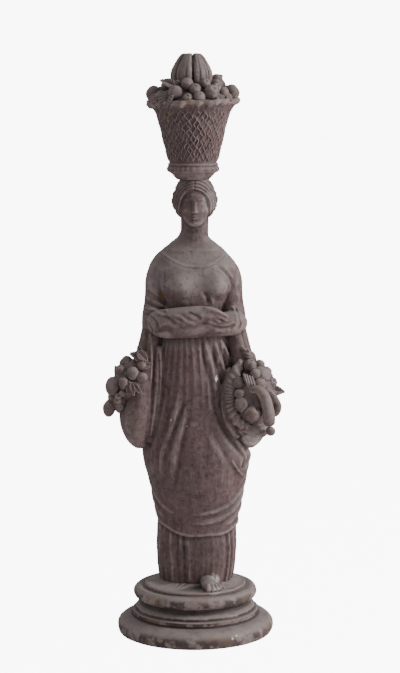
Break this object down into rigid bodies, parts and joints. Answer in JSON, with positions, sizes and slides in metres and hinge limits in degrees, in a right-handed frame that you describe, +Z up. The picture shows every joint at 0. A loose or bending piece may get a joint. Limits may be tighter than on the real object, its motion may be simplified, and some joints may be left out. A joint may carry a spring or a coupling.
{
  "type": "goddess statue",
  "caption": "Standing goddess with folded arms, fruit-filled cloth pouches at her sides and a basket of fruit on her head, on a round moulded plinth.",
  "frame": {"origin": "centre of the plinth's underside", "axes": "+Z up through the statue, -Y towards what she faces, +X to her left"},
  "size_m": [0.3712, 0.3254, 1.2],
  "materials": {
    "plinth": "matt brown patina, dusty on its upper faces",
    "figure": "matt plum-brown patina with grey dust, rubbed to tan on a few ridges",
    "fruit_basket": "matt dark brown patina with grey dust on the fruit"
  },
  "bodies": {
    "root": {"plinth": "plinth", "figure": "figure", "fruit_basket": "fruit_basket"}
  },
  "joints": []
}
